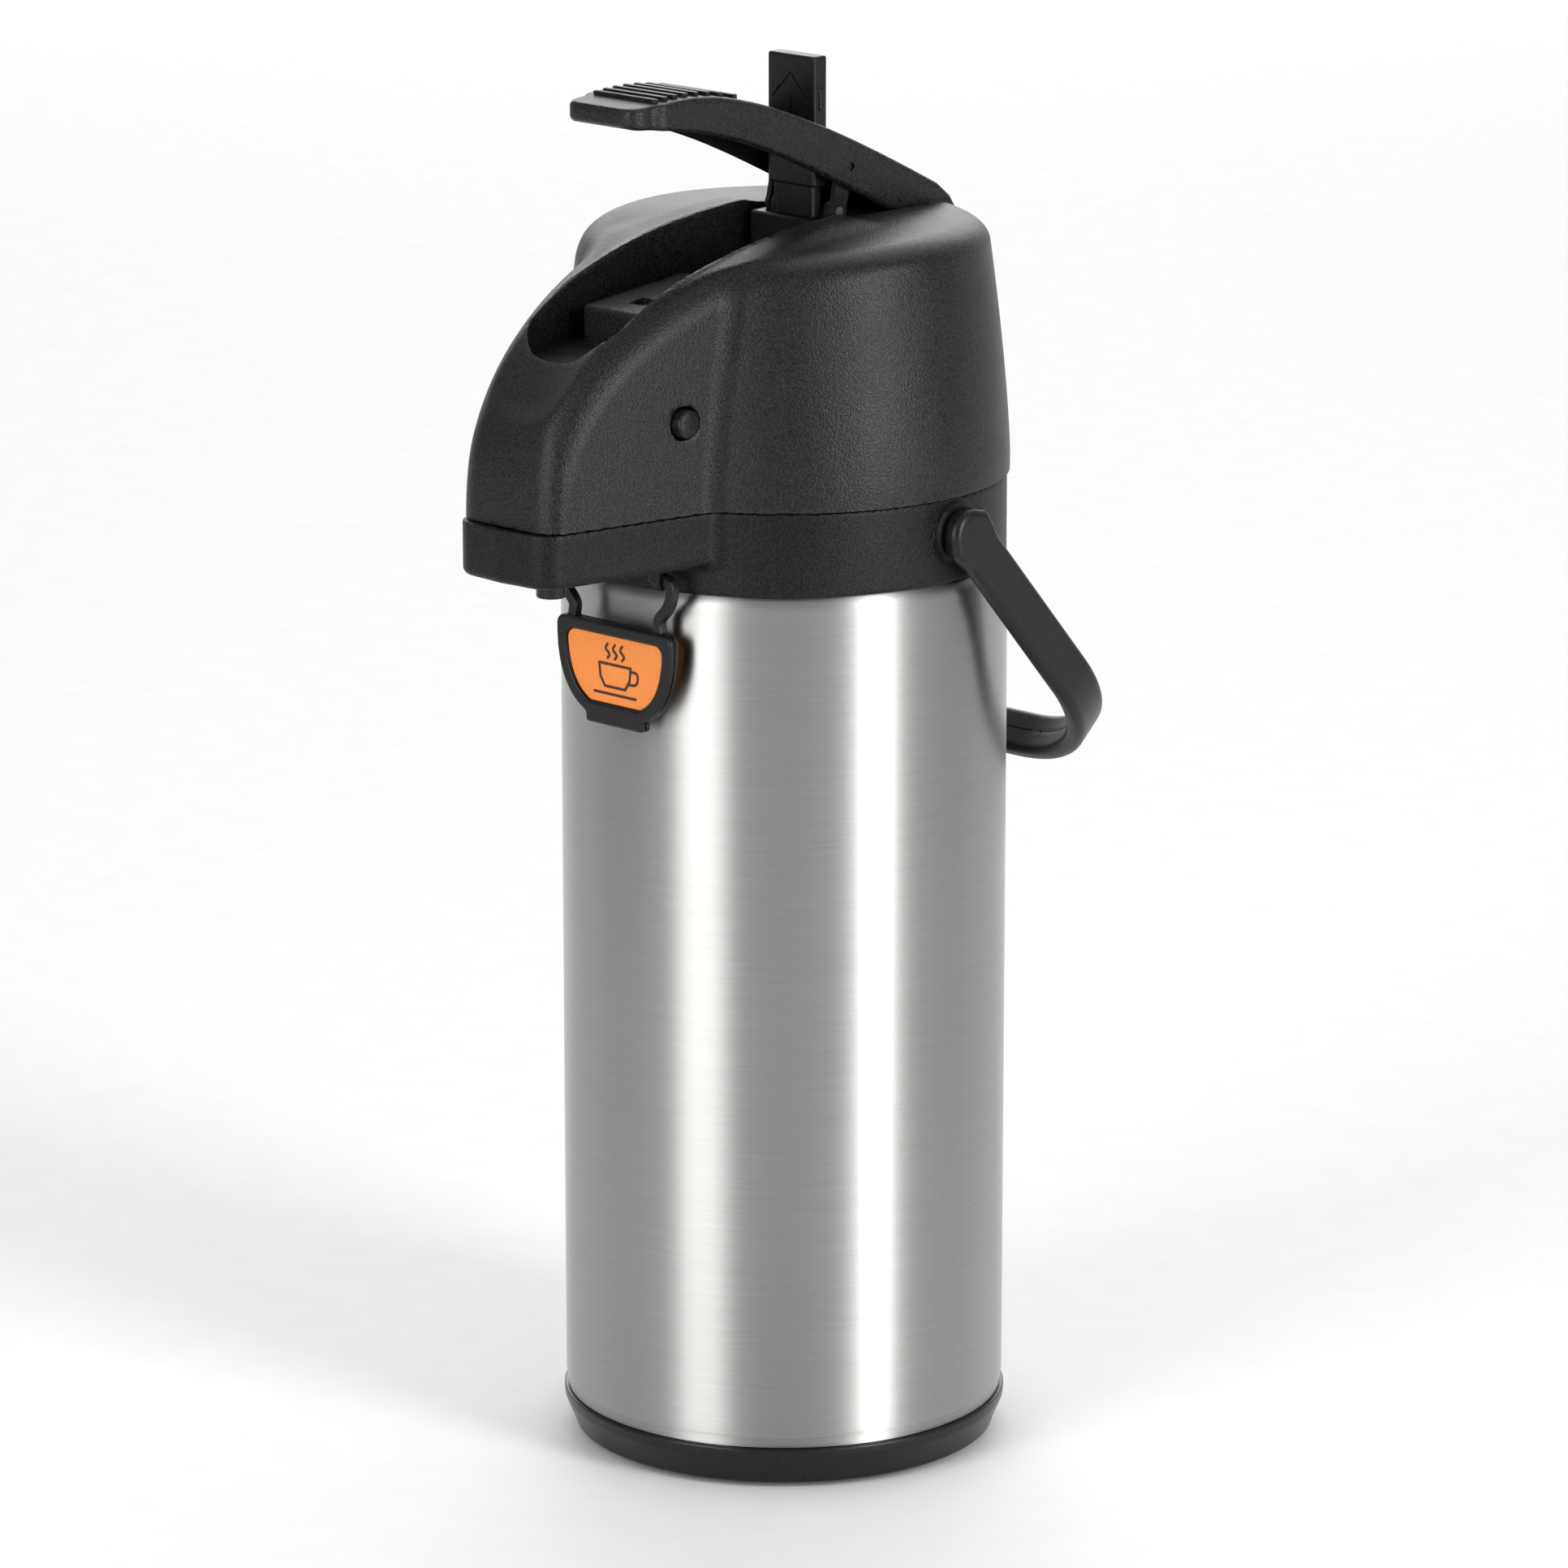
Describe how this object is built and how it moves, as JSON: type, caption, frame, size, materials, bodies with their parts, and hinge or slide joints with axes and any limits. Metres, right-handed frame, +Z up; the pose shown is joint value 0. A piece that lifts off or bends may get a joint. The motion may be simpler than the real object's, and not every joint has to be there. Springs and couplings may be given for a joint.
{
  "type": "thermal airpot",
  "caption": "Lever-action thermal airpot: brushed steel vacuum body on a swivel foot, hinged black head with spout beak, raised pump lever, lock bar, swing bail and hanging cup tag.",
  "frame": {"origin": "centre of the anti-slip pad's underside, on the table", "axes": "+Z up, -Y towards the spout, +X to the left-hand side as seen from the spout, which is the pot's right when seen from behind"},
  "size_m": [0.15, 0.2023, 0.424],
  "materials": {
    "textured_black": "fine spark-textured charcoal black",
    "satin_black": "satin black",
    "base_black": "smooth black",
    "brushed_steel": "brushed round the body",
    "liner_steel": "plain drawn stainless steel",
    "pin_steel": "plain steel",
    "rubber": "matt black rubber",
    "silicone": "translucent white silicone",
    "orange": "satin orange"
  },
  "bodies": {
    "foot": {"swivel_foot": "textured_black", "anti_slip_pad": "rubber"},
    "vessel": {"base_cap": "base_black", "retaining_screw": "pin_steel", "shell_bottom": "liner_steel", "outer_shell": "brushed_steel", "inner_liner": "liner_steel", "liner_bottom_cap": "liner_steel", "liner_neck": "liner_steel", "mouth_gasket": "silicone", "stopper": "satin_black", "siphon_tube": "silicone", "outlet_elbow": "satin_black", "outlet_hose": "silicone", "nozzle": "base_black", "collar": "textured_black", "bail_pins": "pin_steel", "bail_washers": "satin_black", "lid_hinge_pin": "pin_steel"},
    "head": {"head_cover": "textured_black", "head_base": "satin_black", "head_screws": "pin_steel", "lid_gasket": "silicone", "bellows": "rubber", "return_spring": "pin_steel", "lever_pivot_pin": "pin_steel", "button_spring_left": "pin_steel", "button_spring_right": "pin_steel"},
    "lever": {"lever": "satin_black", "lever_link_pins": "pin_steel"},
    "plunger": {"plunger": "satin_black", "pressure_plate": "satin_black", "intake_valve": "rubber", "link_pins": "pin_steel", "lock_post": "satin_black"},
    "links": {"link_straps": "satin_black"},
    "lock_bar": {"lock_bar": "satin_black"},
    "button_left": {"release_button_left": "satin_black"},
    "button_right": {"release_button_right": "satin_black"},
    "bail": {"bail_handle": "satin_black"},
    "tag": {"tag_frame": "satin_black", "tag_insert": "orange"}
  },
  "joints": [
    {"name": "base_swivel", "type": "hinge", "parent": "foot", "child": "vessel", "pos_m": [0, 0, 0.004], "axis": [0, 0, 1], "continuous": true},
    {"name": "lid_hinge", "type": "hinge", "parent": "vessel", "child": "head", "pos_m": [0, 0.0716, 0.3], "axis": [1, 0, 0], "range_deg": [-85, 0]},
    {"name": "lever_press", "type": "hinge", "parent": "head", "child": "lever", "pos_m": [0, 0.0505, 0.3665], "axis": [1, 0, 0], "range_deg": [0, 25], "stiffness_Nm_per_rad": 2, "springref_deg": -8.59},
    {"name": "plunger_slide", "type": "slide", "parent": "head", "child": "plunger", "axis": [0, 0, -1], "range_m": [0, 0.0183], "deforming": ["bellows", "return_spring"]},
    {"name": "link_swing", "type": "hinge", "parent": "plunger", "child": "links", "pos_m": [0, 0.0093, 0.3777], "axis": [1, 0, 0], "range_deg": [0, 28.9]},
    {"name": "lock_slide", "type": "slide", "parent": "plunger", "child": "lock_bar", "axis": [0, 0, -1], "range_m": [0, 0.009]},
    {"name": "button_right_press", "type": "slide", "parent": "head", "child": "button_right", "axis": [-1, 0, 0], "range_m": [0, 0.003], "stiffness_N_per_m": 250, "springref_m": -0.002, "deforming": ["button_spring_right"]},
    {"name": "button_left_press", "type": "slide", "parent": "head", "child": "button_left", "axis": [1, 0, 0], "range_m": [0, 0.003], "stiffness_N_per_m": 250, "springref_m": -0.002, "deforming": ["button_spring_left"]},
    {"name": "bail_swing", "type": "hinge", "parent": "vessel", "child": "bail", "pos_m": [0, 0.0025, 0.29], "axis": [1, 0, 0], "range_deg": [0, 115]},
    {"name": "tag_swing", "type": "hinge", "parent": "vessel", "child": "tag", "pos_m": [0, -0.0708, 0.2802], "axis": [1, 0, 0], "range_deg": [-50, 0]}
  ],
  "couplings": [
    {"joint": "plunger_slide", "follows": "lever_press", "m_per_rad": 0.041826},
    {"joint": "link_swing", "follows": "lever_press", "ratio": 1.148}
  ]
}
